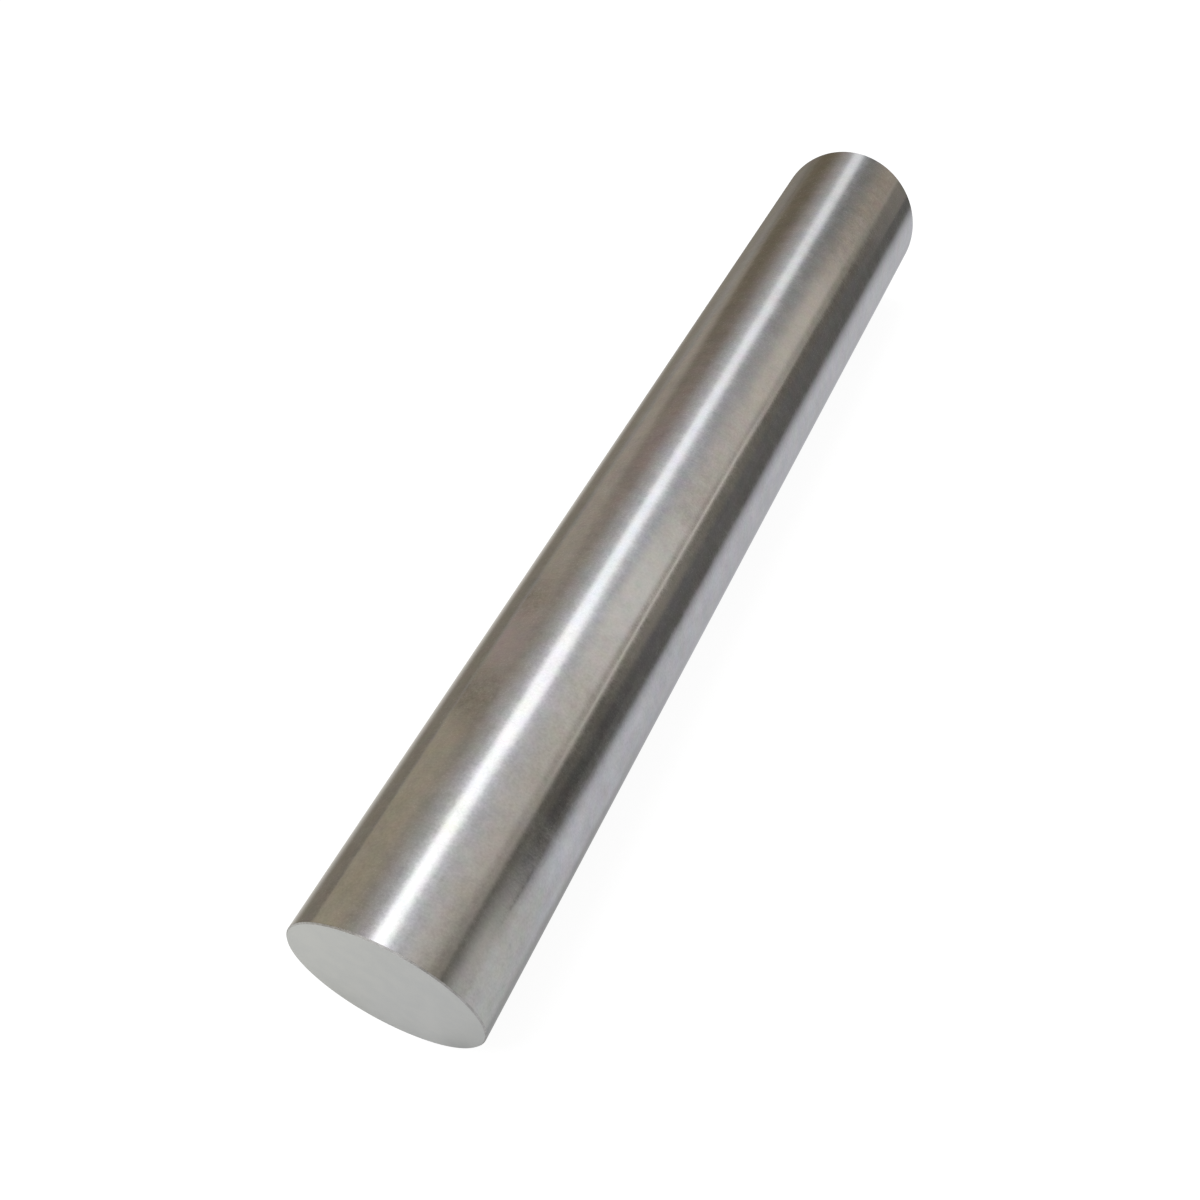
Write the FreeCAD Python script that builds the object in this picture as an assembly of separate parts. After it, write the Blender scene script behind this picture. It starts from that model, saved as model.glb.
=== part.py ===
import FreeCAD, Part
import math
import os

# A short piece of ground round bar: one solid of steel, cut to length and faced square.
# Both ends are circles of the full section. The sharp rim that facing leaves is taken off
# with a narrow chamfer, the same at each end.
# The bar lies on a level floor along X. The origin is on the floor, under its middle.

# Driving dimensions, in millimetres and degrees
bar_diameter = 45.0
bar_length = 300.0
chamfer_width = 0.3      # how far the chamfer comes in over the faced end, from the barrel
chamfer_angle = 45.0     # between the chamfer and the faced end

node_name = "round_bar"
bar_axis = FreeCAD.Vector(1, 0, 0)


def turned_section():
    """Half of the bar's lengthwise section, on one side of its axis, as a closed face."""
    barrel_radius = bar_diameter / 2
    face_radius = barrel_radius - chamfer_width
    bar_end = bar_length / 2
    barrel_end = bar_end - chamfer_width * math.tan(math.radians(chamfer_angle))
    corners = [
        FreeCAD.Vector(-bar_end, 0, 0),
        FreeCAD.Vector(-bar_end, 0, face_radius),
        FreeCAD.Vector(-barrel_end, 0, barrel_radius),
        FreeCAD.Vector(barrel_end, 0, barrel_radius),
        FreeCAD.Vector(bar_end, 0, face_radius),
        FreeCAD.Vector(bar_end, 0, 0),
    ]
    return Part.Face(Part.makePolygon(corners + corners[:1]))


def round_bar():
    """The section turned once round the axis, then lifted until the barrel rests on the floor."""
    bar = turned_section().revolve(FreeCAD.Vector(0, 0, 0), bar_axis, 360)
    bar.translate(FreeCAD.Vector(0, 0, bar_diameter / 2))
    return bar


os.makedirs("parts", exist_ok=True)
bar = round_bar()
bar.exportStep(os.path.join("parts", node_name + ".step"))
box = bar.BoundBox
print("{}: {:.1f} x {:.1f} x {:.1f} mm, {:.1f} cm3, {} solid, lowest point at {:.3f} mm".format(
    node_name, box.XLength, box.YLength, box.ZLength, bar.Volume / 1000, len(bar.Solids), box.ZMin))
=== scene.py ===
import math

import bpy
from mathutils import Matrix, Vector


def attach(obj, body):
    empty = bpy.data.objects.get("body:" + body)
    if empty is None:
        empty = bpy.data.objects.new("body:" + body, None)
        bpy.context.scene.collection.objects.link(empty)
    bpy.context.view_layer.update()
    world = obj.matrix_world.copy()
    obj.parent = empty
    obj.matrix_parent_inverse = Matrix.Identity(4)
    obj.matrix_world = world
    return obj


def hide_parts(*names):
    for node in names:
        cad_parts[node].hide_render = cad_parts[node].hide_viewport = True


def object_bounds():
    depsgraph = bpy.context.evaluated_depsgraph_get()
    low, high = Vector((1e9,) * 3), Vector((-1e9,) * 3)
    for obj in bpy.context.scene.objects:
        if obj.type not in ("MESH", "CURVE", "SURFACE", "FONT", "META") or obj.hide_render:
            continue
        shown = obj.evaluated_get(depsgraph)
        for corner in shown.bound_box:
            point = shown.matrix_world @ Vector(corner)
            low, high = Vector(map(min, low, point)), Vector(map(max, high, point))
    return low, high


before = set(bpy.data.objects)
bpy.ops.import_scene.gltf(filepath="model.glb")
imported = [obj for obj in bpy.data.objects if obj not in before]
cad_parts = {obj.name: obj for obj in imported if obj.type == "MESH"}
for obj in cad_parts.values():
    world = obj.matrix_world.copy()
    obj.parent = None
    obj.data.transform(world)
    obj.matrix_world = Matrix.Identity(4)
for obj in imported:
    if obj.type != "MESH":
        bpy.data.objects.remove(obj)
cadLow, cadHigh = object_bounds()
print("frame loaded, box", [round(v, 5) for v in (*cadLow, *cadHigh)])

# A short piece of ground steel round bar. It lies along X on a pale floor, its left end towards the camera.
# Lengths are in metres, unless a note says otherwise.
barLength = cadHigh.x - cadLow.x
barDiameter = cadHigh.z - cadLow.z
axisHeight = (cadHigh.z + cadLow.z) / 2
barRadius = barDiameter / 2


class Wire:
    # one output of a node; arithmetic on it adds Math nodes to the same tree
    def __init__(self, tree, socket=None):
        self.tree = tree
        self.socket = socket

    def node(self, kind, settings=None, sockets=None, output=0):
        made = self.tree.nodes.new(kind)
        for name, value in (settings or {}).items():
            setattr(made, name, value)
        for name, value in (sockets or {}).items():
            if isinstance(value, Wire):
                self.tree.links.new(value.socket, made.inputs[name])
            else:
                made.inputs[name].default_value = value
        return Wire(self.tree, made.outputs[output] if made.outputs else None)

    def maths(self, operation, *values):
        return self.node("ShaderNodeMath", {"operation": operation}, dict(enumerate(values)))

    def __add__(self, other):
        return self.maths("ADD", self, other)

    __radd__ = __add__

    def __sub__(self, other):
        return self.maths("SUBTRACT", self, other)

    def __rsub__(self, other):
        return self.maths("SUBTRACT", other, self)

    def __mul__(self, other):
        return self.maths("MULTIPLY", self, other)

    __rmul__ = __mul__

    def __truediv__(self, other):
        return self.maths("DIVIDE", self, other)

    def __rtruediv__(self, other):
        return self.maths("DIVIDE", other, self)

    def unsigned(self):
        return self.maths("ABSOLUTE", self)

    def step(self, low, high):
        # 0 below low, 1 above high, with a soft rise between
        return self.node("ShaderNodeMapRange", {"interpolation_type": "SMOOTHSTEP"},
                         {"Value": self, "From Min": low, "From Max": high})

    def part(self, axis):
        # one of the three numbers of a place
        return self.node("ShaderNodeSeparateXYZ", None, {"Vector": self}, output=axis)


def placeOn(wire):
    return wire.node("ShaderNodeTexCoord", output="Object")


def scaled(place, x, y, z):
    return place.node("ShaderNodeVectorMath", {"operation": "MULTIPLY"}, {0: place, 1: (x, y, z)})


noiseReach = 0.25              # how far noise strays from its middle, which is 0.5


def pattern(place, look, falloff=0.55):
    # noise from about -1 to 1, its marks as large along the bar and round it as the look's "size" says
    along, around = look["size"]
    noise = place.node("ShaderNodeTexNoise", {"noise_dimensions": "3D"}, {
        "Vector": scaled(place, 1 / along, 1 / around, 1 / around), "Scale": 1.0,
        "Detail": look["detail"], "Roughness": falloff})
    return (noise - 0.5) / noiseReach


def blend(factor, first, second):
    # a colour that goes from the first to the second as the factor goes from 0 to 1
    return factor.node("ShaderNodeMix", {"data_type": "RGBA"}, {0: factor, 6: first, 7: second}, output=2)


def newFinish(name):
    finish = bpy.data.materials.new(name)
    finish.use_nodes = True
    finish.node_tree.nodes.clear()
    return finish, Wire(finish.node_tree)


def setSurface(wire, surface):
    wire.node("ShaderNodeOutputMaterial", None, {"Surface": surface})


def steel(wire, colour, roughness, height):
    # bare metal, with marks too low to be in the mesh
    normal = wire.node("ShaderNodeBump", None, {"Strength": 1.0, "Distance": 1.0, "Height": height})
    setSurface(wire, wire.node("ShaderNodeBsdfPrincipled", None, {
        "Base Color": colour, "Metallic": 1.0, "Roughness": roughness, "Normal": normal}))


def addObject(name, data):
    made = bpy.data.objects.new(name, data)
    bpy.context.scene.collection.objects.link(made)
    return made


# A pattern's "size" is how large its marks are along the bar and round it. "shade" is how far it lightens
# or darkens the steel, "haze" how far it roughens or smooths it, and "height" how far it rises or sinks.
barrelLook = {
    "steelColour": (0.600, 0.599, 0.597, 1.0),
    "roughness": 0.13,
    "leastRoughness": 0.06,
    "lines": {"size": (0.0009, 0.007), "detail": 2.0, "shade": 0.026, "haze": 0.015, "height": 1.0e-6},
    "flecks": {"size": (0.0005, 0.00065), "detail": 1.0, "shade": 0.072, "haze": 0.025, "height": 0.75e-6},
    "blotches": {"size": (0.0026, 0.0026), "detail": 2.0, "shade": 0.060, "haze": 0.025, "height": 0.75e-6},
    "clouds": {"size": (0.009, 0.009), "detail": 3.0, "shade": 0.074, "haze": 0.020, "height": 0.0},
    "oilFilm": {"size": (0.0045, 0.0054), "detail": 2.0, "warmth": 0.030},
    "stain": {"size": (0.00338, 0.0039), "detail": 2.0, "mauve": 0.026},
    "middle": {"at": -0.01, "fades": (0.03, 0.11), "mauve": 0.003},          # painted reflection: a little more mauve in the middle of the bar
}


def groundBarrel():
    look = barrelLook
    finish, wire = newFinish("groundBarrel")
    place = placeOn(wire)
    shade, roughness, height = 1.0, look["roughness"], 0.0
    for name in ("lines", "flecks", "blotches", "clouds"):
        marks = pattern(place, look[name])
        shade = marks * look[name]["shade"] + shade
        roughness = marks * look[name]["haze"] + roughness
        height = marks * look[name]["height"] + height

    warm = pattern(place, look["oilFilm"]) * look["oilFilm"]["warmth"]
    # painted reflection: a faint mauve tint towards the middle of the bar, added to the random stain
    middle = 1.0 - (place.part("X") - look["middle"]["at"]).unsigned().step(*look["middle"]["fades"])
    mauve = pattern(place, look["stain"]) * look["stain"]["mauve"] + middle * look["middle"]["mauve"]
    tint = wire.node("ShaderNodeCombineColor", None, {
        "Red": shade + warm + mauve, "Green": shade - mauve, "Blue": shade - warm + mauve})
    colour = wire.node("ShaderNodeMix", {"data_type": "RGBA", "blend_type": "MULTIPLY"},
                       {0: 1.0, 6: look["steelColour"], 7: tint}, output=2)
    steel(wire, colour, wire.maths("MAXIMUM", roughness, look["leastRoughness"]), height)
    return finish


endLook = {
    "steelColour": (0.545, 0.555, 0.550, 1.0),
    "paleMottleAndLitSideColour": (0.612, 0.617, 0.602, 1.0),
    "roughness": 0.42,
    "rings": {"spacing": 0.00035, "detail": 2.0, "haze": 0.0125, "height": 1.0e-6},      # left by facing
    "mottle": {"size": (0.006, 0.006), "detail": 4.0, "haze": 0.035, "height": 2.0e-6, "fades": (-0.6, 0.6)},
    "mottleShare": 0.55,       # against painted shade, which makes the end lighter towards +Y
}


def facedEnd():
    look = endLook
    finish, wire = newFinish("facedEnd")
    place = placeOn(wire)
    fromAxis = scaled(wire.node("ShaderNodeVectorMath", {"operation": "SUBTRACT"},
                                {0: place, 1: (0.0, 0.0, axisHeight)}), 0.0, 1.0, 1.0)
    outwards = wire.node("ShaderNodeVectorMath", {"operation": "LENGTH"}, {0: fromAxis}, output="Value")
    rings = wire.node("ShaderNodeTexNoise", {"noise_dimensions": "1D"}, {
        "W": outwards / look["rings"]["spacing"], "Scale": 1.0, "Detail": look["rings"]["detail"]})
    rings = (rings - 0.5) / noiseReach
    mottle = pattern(place, look["mottle"], 0.6)
    # painted shade: the end grows lighter towards +Y, mixed with the random mottle
    clear = (mottle.step(*look["mottle"]["fades"]) * look["mottleShare"]
             + place.part("Y").step(-barRadius, barRadius) * (1.0 - look["mottleShare"]))
    steel(wire, blend(clear, look["steelColour"], look["paleMottleAndLitSideColour"]),
          look["roughness"] + mottle * look["mottle"]["haze"] + rings * look["rings"]["haze"],
          mottle * look["mottle"]["height"] + rings * look["rings"]["height"])
    return finish


rimLook = {
    # painted shade: both rim colours are darker than the barrel's steel, so the rim shows a dark line
    "steelColour": (0.44, 0.435, 0.43, 1.0),
    "wornAndShadedColour": (0.54, 0.535, 0.53, 1.0),
    "roughness": 0.42,
    "nicks": {"size": (0.0015, 0.0015), "detail": 3.0, "haze": 0.05, "height": 7.5e-6, "fades": (-0.4, 0.4)},
}


def brokenRim():
    look = rimLook
    finish, wire = newFinish("brokenRim")
    nicks = pattern(placeOn(wire), look["nicks"], 0.6)
    worn = nicks.step(*look["nicks"]["fades"])
    # painted shade darkens the rim; the nicks lighten it at random
    steel(wire, blend(worn, look["steelColour"], look["wornAndShadedColour"]),
          look["roughness"] + nicks * look["nicks"]["haze"], nicks * look["nicks"]["height"])
    return finish


bar = {
    "Length": barLength,
    "Radius": barRadius,
    "Axis Height": axisHeight,
    "Rim Chamfer": 0.0003,
    "Rim Rounding": 0.00008,   # how softly the chamfer runs into the barrel
    "Around": 288,
    "Rim Steps": 10,
    "Barrel Steps": 20,
}


def turnedBar(finishNames):
    # stations along the axis, close together at the rims, each with a circle of its own radius
    tree = bpy.data.node_groups.new("turnedBar", "GeometryNodeTree")
    inputs = dict.fromkeys(bar, "NodeSocketFloat")
    inputs.update(dict.fromkeys(("Around", "Rim Steps", "Barrel Steps"), "NodeSocketInt"))
    inputs.update(dict.fromkeys(finishNames, "NodeSocketMaterial"))
    keys = {}
    for name, kind in inputs.items():
        keys[name] = tree.interface.new_socket(name=name, in_out="INPUT", socket_type=kind).identifier
    tree.interface.new_socket(name="Bar", in_out="OUTPUT", socket_type="NodeSocketGeometry")
    wire = Wire(tree)
    given = tree.nodes.new("NodeGroupInput")
    size = {name: Wire(tree, given.outputs[name]) for name in keys}

    rimSteps, barrelSteps = size["Rim Steps"], size["Barrel Steps"]
    middle = rimSteps + barrelSteps
    index = wire.node("GeometryNodeInputIndex")
    fromEnd = middle - (index - middle).unsigned()      # in steps, from the nearer end
    halfLength = size["Length"] / 2.0
    rimDepth = size["Rim Chamfer"] * 2.0                # how far in the close stations reach
    inRim = wire.maths("MINIMUM", fromEnd / rimSteps, 1.0)
    inBarrel = wire.maths("MAXIMUM", fromEnd - rimSteps, 0.0) / barrelSteps
    depth = rimDepth * inRim + (halfLength - rimDepth) * inBarrel
    along = (halfLength - depth) * wire.maths("SIGN", index - middle)
    cut = wire.maths("SMOOTH_MAX", size["Rim Chamfer"] - depth, 0.0, size["Rim Rounding"])
    radius = size["Radius"] - cut

    axis = wire.node("GeometryNodeCurvePrimitiveLine", None, {"End": (1.0, 0.0, 0.0)})
    axis = wire.node("GeometryNodeResampleCurve", None, {"Curve": axis, "Count": middle * 2.0 + 1.0})
    place = wire.node("ShaderNodeCombineXYZ", None, {"X": along, "Z": size["Axis Height"]})
    axis = wire.node("GeometryNodeSetPosition", None, {"Geometry": axis, "Position": place})
    ring = wire.node("GeometryNodeCurvePrimitiveCircle", None, {
        "Resolution": size["Around"], "Radius": 1.0})
    skin = wire.node("GeometryNodeCurveToMesh", None, {
        "Curve": axis, "Profile Curve": ring, "Scale": radius, "Fill Caps": True})

    sharpBend = math.radians(20.0)
    bend = wire.node("GeometryNodeInputMeshEdgeAngle")
    sharp = wire.maths("GREATER_THAN", bend, sharpBend)
    skin = wire.node("GeometryNodeSetShadeSmooth", {"domain": "FACE"}, {
        "Geometry": skin, "Shade Smooth": True})
    skin = wire.node("GeometryNodeSetShadeSmooth", {"domain": "EDGE"}, {
        "Geometry": skin, "Selection": sharp, "Shade Smooth": False})
    solid = wire.node("GeometryNodeRealizeInstances", None, {"Geometry": skin})

    # barrel, rim and end are told apart by how squarely a face looks along the bar
    facing = wire.node("GeometryNodeInputNormal").part("X").unsigned()
    for name, squarest in zip(finishNames, (-1.0, 0.2, 0.95)):
        chosen = wire.maths("GREATER_THAN", facing, squarest)
        solid = wire.node("GeometryNodeSetMaterial", None, {
            "Geometry": solid, "Selection": chosen, "Material": size[name]})
    wire.node("NodeGroupOutput", None, {"Bar": solid})
    return tree, keys


def makeBar():
    finishes = {"Barrel Finish": groundBarrel(), "Rim Finish": brokenRim(), "End Finish": facedEnd()}
    tree, keys = turnedBar(list(finishes))
    grower = addObject("barGrower", bpy.data.meshes.new("barGrower"))
    modifier = grower.modifiers.new("turnedBar", "NODES")
    modifier.node_group = tree
    for name, value in {**bar, **finishes}.items():
        modifier[keys[name]] = value
    shown = bpy.context.evaluated_depsgraph_get()
    mesh = bpy.data.meshes.new_from_object(grower.evaluated_get(shown))
    mesh.name = "roundBar"
    bpy.data.objects.remove(grower)
    return addObject("roundBar", mesh)


roundBar = makeBar()
print("bar turned:", len(roundBar.data.polygons), "faces,", [m.name for m in roundBar.data.materials])
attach(roundBar, "root")
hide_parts("round_bar")


floorLook = {
    "reach": 12.0,
    "colour": (0.80, 0.80, 0.80, 1.0),
    "fibreColour": (0.82, 0.82, 0.82, 1.0),
    "fibres": {"size": (1 / 900, 1 / 900), "detail": 2.0, "fades": (-0.8, 0.8)},
    "cameraShare": 0.26,       # how much of its own light and shade the camera sees
    "cameraWhite": 1.21,       # the plain white in the rest, strong enough for a white floor
}


def makeFloor():
    look = floorLook
    finish, wire = newFinish("paleFloor")
    fibres = pattern(placeOn(wire), look["fibres"], 0.5)
    colour = blend(fibres.step(*look["fibres"]["fades"]), look["colour"], look["fibreColour"])
    plain = wire.node("ShaderNodeBsdfDiffuse", None, {"Color": colour})
    white = wire.node("ShaderNodeEmission", None, {
        "Color": (1.0, 1.0, 1.0, 1.0), "Strength": look["cameraWhite"]})
    seen = wire.node("ShaderNodeMixShader", None, {0: look["cameraShare"], 1: white, 2: plain})
    camera = wire.node("ShaderNodeLightPath", output="Is Camera Ray")
    setSurface(wire, wire.node("ShaderNodeMixShader", None, {0: camera, 1: plain, 2: seen}))
    side = look["reach"]
    mesh = bpy.data.meshes.new("floor")
    mesh.from_pydata([(-side, -side, 0), (side, -side, 0), (side, side, 0), (-side, side, 0)],
                     [], [(0, 1, 2, 3)])
    mesh.materials.append(finish)
    return addObject("floor", mesh)


# What the gloss of the bar mirrors is painted in bands on two surfaces that only glossy rays meet: an arch
# round its axis, measured in degrees from straight up towards -Y, and an underlay just over the floor,
# measured in bar radii towards +Y. Along both, x is in metres. A band has up to four edges, "from" and "to"
# across its surface and "xFrom" and "xTo" along it, each as wide as its "soft" says. An edge is one number
# where it runs straight, and (a, b, c) where it lies at a + b x + c x². "tone" turns into "farTone" over the
# stretch of x in "fade". Each band is laid over those before it.
arch = {
    "radius": 1.3,
    "across": (-93, 93),
    "along": (-6.0, 12.0),
    "bands": {
        "dimWall": {"tone": (0.36, 0.32, 0.27), "farTone": (0.185, 0.155, 0.11), "fade": (0.6, 2.1)},
        "paleWall": {"to": (-50, 0, -10), "toSoft": 18,
                     "tone": (0.41, 0.36, 0.275), "farTone": (0.41, 0.36, 0.30), "fade": (0.4, 1.2)},
        "wallFoot": {"to": -86, "toSoft": 16, "xFrom": 1.7, "xSoft": 0.3,
                     "tone": (0.31, 0.275, 0.235), "farTone": (0.245, 0.215, 0.17), "fade": (1.8, 2.35)},
        "mauvePatch": {"to": -46, "toSoft": 14, "xFrom": 0.74, "xTo": 0.83, "xSoft": 0.06,
                       "tone": (0.41, 0.335, 0.31)},
        "nearNotch": {"to": -46, "toSoft": 16, "xFrom": 0.635, "xTo": 0.715, "xSoft": 0.06,
                      "tone": (0.25, 0.215, 0.165)},
        "farNotch": {"to": -62, "toSoft": 16, "xFrom": 0.85, "xTo": 0.91, "xSoft": 0.05,
                     "tone": (0.27, 0.23, 0.18)},
        "mauveWall": {"from": -61, "fromSoft": 12, "xFrom": 1.14, "xTo": 1.66, "xSoft": 0.3,
                      "tone": (0.33, 0.268, 0.234), "farTone": (0.25, 0.203, 0.172), "fade": (1.3, 1.6)},
        "farGlow": {"from": -52, "fromSoft": 26, "xFrom": 1.72, "xSoft": 0.25,
                    "tone": (0.32, 0.28, 0.25)},
        "glow": {"from": (-34.5, 0, -0.6), "fromSoft": 27, "tone": (0.513, 0.50, 0.493)},
        "halo": {"from": (-22, 0, -1.3), "fromSoft": 10,
                 "tone": (0.80, 0.797, 0.80), "farTone": (0.643, 0.637, 0.652), "fade": (0.34, 1.2)},
        "ceiling": {"from": (-9, 0, -1.6), "fromSoft": 6,
                    "tone": (0.635, 0.62, 0.62), "farTone": (0.24, 0.235, 0.22), "fade": (0.6, 2.5)},
        "coolCeiling": {"from": (-9, 0, -1.6), "fromSoft": 6, "to": 18, "toSoft": 14,
                        "xFrom": 0.84, "xTo": 1.5, "xSoft": 0.3,
                        "tone": (0.582, 0.585, 0.615), "farTone": (0.445, 0.445, 0.46), "fade": (0.95, 1.5)},
        "warmCeiling": {"from": 24.5, "fromSoft": 34,
                        "tone": (0.60, 0.555, 0.50), "farTone": (0.38, 0.325, 0.27), "fade": (1.75, 2.2)},
        "dimCorner": {"from": 38, "fromSoft": 24, "xTo": 0.41, "xSoft": 0.16,
                      "tone": (0.44, 0.415, 0.36)},
        "paleSpot": {"from": 18, "fromSoft": 18, "xFrom": 0.84, "xTo": 1.12, "xSoft": 0.2,
                     "tone": (0.79, 0.77, 0.72)},
        "warmSpot": {"from": 32, "fromSoft": 18, "xFrom": 1.45, "xTo": 1.98, "xSoft": 0.3,
                     "tone": (0.65, 0.59, 0.52)},
        "ledge": {"from": (50.5, -1.5, 1.9), "fromSoft": 8,
                  "tone": (0.30, 0.27, 0.24), "farTone": (0.44, 0.405, 0.355), "fade": (0.2, 0.6)},
        "farLedge": {"from": 53.5, "fromSoft": 8, "xFrom": 1.82, "xTo": 2.24, "xSoft": 0.3,
                     "tone": (0.32, 0.29, 0.24)},
        "flag": {"from": 62.2, "fromSoft": 7,
                 "tone": (0.145, 0.135, 0.115), "farTone": (0.205, 0.19, 0.16), "fade": (0.7, 1.0)},
        "paleFlag": {"from": 61.5, "fromSoft": 5, "to": 84, "toSoft": 24,
                     "xFrom": 0.88, "xTo": 1.1, "xSoft": 0.16, "tone": (0.272, 0.248, 0.212)},
        "farFlag": {"from": 65.5, "fromSoft": 5, "xFrom": 1.48, "xTo": 2.25, "xSoft": 0.15,
                    "tone": (0.155, 0.14, 0.12)},
        "deepFlag": {"from": 77, "fromSoft": 10,
                     "tone": (0.092, 0.088, 0.082), "farTone": (0.15, 0.144, 0.138), "fade": (0.7, 1.0)},
        "farEnd": {"from": 64, "fromSoft": 10, "xFrom": 2.22, "xSoft": 0.15, "tone": (0.26, 0.238, 0.21)},
        "nearPatch": {"from": 74, "fromSoft": 26, "xTo": 0.44, "xSoft": 0.22,
                      "tone": (0.505, 0.49, 0.46)},
        "edgeLine": {"from": 57.6, "fromSoft": 1, "to": 60.2, "toSoft": 1,
                     "xFrom": 0.62, "xTo": 1.48, "xSoft": 0.1,
                     "tone": (0.66, 0.62, 0.555), "farTone": (0.88, 0.83, 0.755), "fade": (0.6, 1.0)},
        "farLine": {"from": 61.4, "fromSoft": 1, "to": 63.2, "toSoft": 1,
                    "xFrom": 1.48, "xTo": 2.0, "xSoft": 0.1,
                    "tone": (0.70, 0.64, 0.56), "farTone": (0.36, 0.33, 0.29), "fade": (1.5, 1.85)},
        "stripTail": {"from": -16, "fromSoft": 8, "to": (12, -4.3, 0), "toSoft": 8,
                      "tone": (0.768, 0.765, 0.795), "farTone": (0.337, 0.336, 0.338), "fade": (0.6, 2.25)},
        "bulge": {"from": -8, "fromSoft": 3, "to": 2.8, "toSoft": 9,
                  "xFrom": 0.62, "xTo": 0.88, "xSoft": 0.2, "tone": (1.62, 1.63, 1.66)},
        "lightStrip": {"from": (-16.2, 4.0, -3.3), "fromSoft": 8, "to": (0.6, 0.5, -1.9), "toSoft": 12,
                       "tone": (1.88, 1.90, 1.90), "farTone": (1.01, 1.01, 1.03), "fade": (-0.1, 2.3)},
        "coolStretch": {"from": (-13, 4.0, -3.3), "fromSoft": 5, "to": (-2.5, 0, -1.9), "toSoft": 6,
                        "xFrom": 0.85, "xTo": 1.66, "xSoft": 0.3,
                        "tone": (1.46, 1.50, 1.58), "farTone": (1.24, 1.265, 1.33), "fade": (0.95, 1.6)},
    },
}
underlay = {
    "height": 0.0006,
    "across": (-58, 58),
    "along": (-6.0, 12.0),
    "gap": 0.45,               # left clear on both sides of the line where the bar touches the floor
    "gapSoft": 0.4,
    "bands": {
        "leftTable": {"tone": (0.255, 0.226, 0.182), "farTone": (0.34, 0.316, 0.282), "fade": (0.08, 0.4)},
        "farTable": {"to": (-5, 32.8, 0), "toSoft": 7, "tone": (0.206, 0.181, 0.146)},
        "leftSheet": {"to": (2.4, -1.5, -16), "toSoft": 3.2,
                      "tone": (0.86, 0.83, 0.775), "farTone": (0.262, 0.25, 0.232), "fade": (0.02, 0.2)},
        "leftVerge": {"from": 0, "fromSoft": 0.3, "to": 1.93, "toSoft": 0.3,
                      "tone": (0.50, 0.48, 0.44), "farTone": (0.10, 0.096, 0.088), "fade": (-0.06, 0.12)},
        "rightSheet": {"to": 0, "toSoft": 0.3,
                       "tone": (0.655, 0.657, 0.695), "farTone": (0.65, 0.652, 0.69), "fade": (0, 1)},
        "rightTable": {"to": (-4.7, 4.0, 0), "toSoft": 4.6, "xFrom": -0.045, "xSoft": 0.22,
                       "tone": (0.14, 0.135, 0.125)},
        "nearSheet": {"to": (-14.5, -119, 0), "toSoft": 3,
                      "tone": (0.60, 0.60, 0.58), "farTone": (0.53, 0.515, 0.485), "fade": (-0.11, -0.05)},
        "nearVerge": {"to": (-13.3, -105, 0), "toSoft": 14, "xFrom": 0.1, "xSoft": 0.1,
                      "tone": (0.505, 0.49, 0.46)},
        "rightDim": {"from": -2.1, "fromSoft": 1.2, "to": 0, "toSoft": 0.3,
                     "tone": (0.545, 0.545, 0.545), "farTone": (0.58, 0.58, 0.61), "fade": (-0.13, -0.11)},
        "rightShade": {"from": -1.35, "fromSoft": 0.5, "to": 0, "toSoft": 0.3,
                       "tone": (0.37, 0.37, 0.37), "farTone": (0.50, 0.50, 0.525), "fade": (-0.11, -0.02)},
        "frontLeft": {"xTo": -0.155, "xSoft": 0.01, "tone": (0.86, 0.86, 0.83)},
        "frontRight": {"to": 0, "toSoft": 8, "xTo": -0.155, "xSoft": 0.01, "tone": (0.64, 0.64, 0.65)},
    },
}


def paintBands(across, along, bands):
    edges = ((across, "from", "fromSoft"), (across, "to", "toSoft"),
             (along, "xFrom", "xSoft"), (along, "xTo", "xSoft"))
    painted = None
    for band in bands.values():
        tone = (*band["tone"], 1.0)
        if "farTone" in band:
            tone = blend(along.step(*band["fade"]), tone, (*band["farTone"], 1.0))
        cover = 1.0
        for line, edge, soft in edges:
            if edge in band:
                place = band[edge]
                if isinstance(place, tuple):
                    a, b, c = place
                    place = (along * c + b) * along + a
                past = (line - place).step(-band[soft] / 2, band[soft] / 2)
                cover = (past if edge in ("from", "xFrom") else 1.0 - past) * cover
        painted = blend(cover, painted, tone) if painted else tone
    return painted


def glossOnly(name, surface, placeOf):
    # a grid with a map in the surface's own measures, there only for glossy rays
    columns, rows = 64, 36
    (left, right), (start, end) = surface["across"], surface["along"]
    uvs = [(left + (right - left) * i / columns, start + (end - start) * j / rows)
           for j in range(rows + 1) for i in range(columns + 1)]
    wide = columns + 1
    faces = [(j * wide + i, j * wide + i + 1, (j + 1) * wide + i + 1, (j + 1) * wide + i)
             for j in range(rows) for i in range(columns)]
    mesh = bpy.data.meshes.new(name)
    mesh.from_pydata([placeOf(*uv) for uv in uvs], [], faces)
    layer = mesh.uv_layers.new(name="bands")
    for loop in mesh.loops:
        layer.data[loop.index].uv = uvs[loop.vertex_index]

    finish, wire = newFinish(name)
    finish.cycles.emission_sampling = "NONE"
    uv = wire.node("ShaderNodeUVMap", {"uv_map": "bands"})
    across, along = uv.part("X"), uv.part("Y")
    glow = wire.node("ShaderNodeEmission", None, {
        "Color": paintBands(across, along, surface["bands"]), "Strength": 1.0})
    if "gap" in surface:
        clear = wire.node("ShaderNodeBsdfTransparent")
        halfSoft = surface["gapSoft"] / 2
        cover = across.unsigned().step(surface["gap"] - halfSoft, surface["gap"] + halfSoft)
        glow = wire.node("ShaderNodeMixShader", None, {0: cover, 1: clear, 2: glow})
    setSurface(wire, glow)
    mesh.materials.append(finish)
    made = addObject(name, mesh)
    for ray in ("camera", "diffuse", "transmission", "shadow", "volume_scatter"):
        setattr(made, "visible_" + ray, False)
    return made


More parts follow.
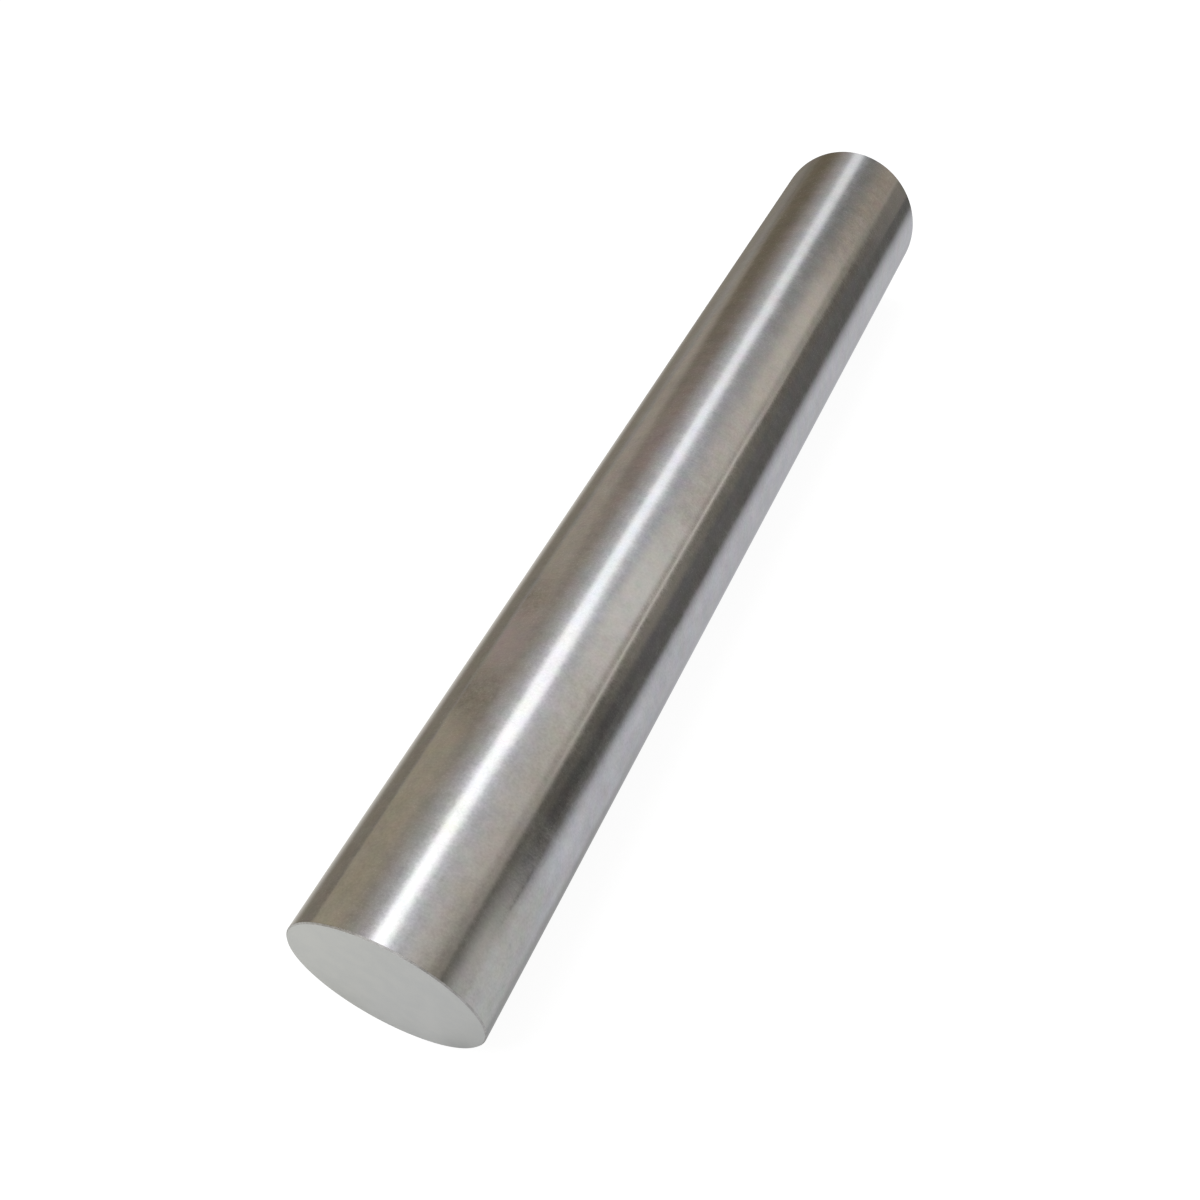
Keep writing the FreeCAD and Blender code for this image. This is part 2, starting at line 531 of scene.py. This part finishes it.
def archPlace(degrees, x):
    turn = math.radians(degrees)
    return x, -arch["radius"] * math.sin(turn), axisHeight + arch["radius"] * math.cos(turn)


def underlayPlace(radii, x):
    return x, radii * barRadius, underlay["height"]


stagePieces = [
    makeFloor(),
    glossOnly("arch", arch, archPlace),
    glossOnly("underlay", underlay, underlayPlace),
]
bandCount = len(arch["bands"]) + len(underlay["bands"])
print("floor laid, arch and underlay painted with", bandCount, "bands")


light = {
    "sky": 0.55,               # soft light from all round, on matt surfaces
    "sun": 1.50,
    "sunFrom": (-0.25, 0.45, 1.0),
    "sunSize": 45.0,           # degrees across, so that its shadow is soft
}


def lightStudio():
    world = bpy.data.worlds.new("whiteStudio")
    world.use_nodes = True
    world.node_tree.nodes.clear()
    wire = Wire(world.node_tree)
    shown = 0.0
    for ray in ("Is Camera Ray", "Is Glossy Ray", "Is Transmission Ray"):
        shown = wire.node("ShaderNodeLightPath", output=ray) + shown
    strength = wire.maths("MINIMUM", shown, 1.0) * (1.0 - light["sky"]) + light["sky"]
    sky = wire.node("ShaderNodeBackground", None, {"Color": (1.0, 1.0, 1.0, 1.0), "Strength": strength})
    wire.node("ShaderNodeOutputWorld", None, {"Surface": sky})
    bpy.context.scene.world = world

    lamp = bpy.data.lights.new("softSun", "SUN")
    lamp.energy = light["sun"]
    lamp.angle = math.radians(light["sunSize"])
    sun = addObject("softSun", lamp)
    sun.rotation_mode = "QUATERNION"
    sun.rotation_quaternion = Vector(light["sunFrom"]).to_track_quat("Z", "Y")
    sun.visible_glossy = False


lightStudio()

photoCamera = {
    "lens": 34.39,             # in millimetres, as is the sensor's width
    "sensor": 36.0,
    "place": (-0.2163, -0.0823, 0.2344),
    "aim": (-0.0729, -0.0194, 0.0),
    "shift": (-0.025, 0.158),  # the photograph's frame lies off the lens's middle
    "nearest": 0.005,          # anything closer to the lens isn't shown
}


def setCamera():
    data = bpy.data.cameras.new("photoCamera")
    data.sensor_width = photoCamera["sensor"]
    data.lens = photoCamera["lens"]
    data.shift_x, data.shift_y = photoCamera["shift"]
    data.clip_start = photoCamera["nearest"]
    camera = addObject("photoCamera", data)
    camera.location = photoCamera["place"]
    sight = Vector(photoCamera["aim"]) - Vector(photoCamera["place"])
    camera.rotation_mode = "QUATERNION"
    camera.rotation_quaternion = sight.to_track_quat("-Z", "Y")
    bpy.context.scene.camera = camera


setCamera()
bpy.context.scene.view_settings.view_transform = "Standard"
print("lights and camera set")
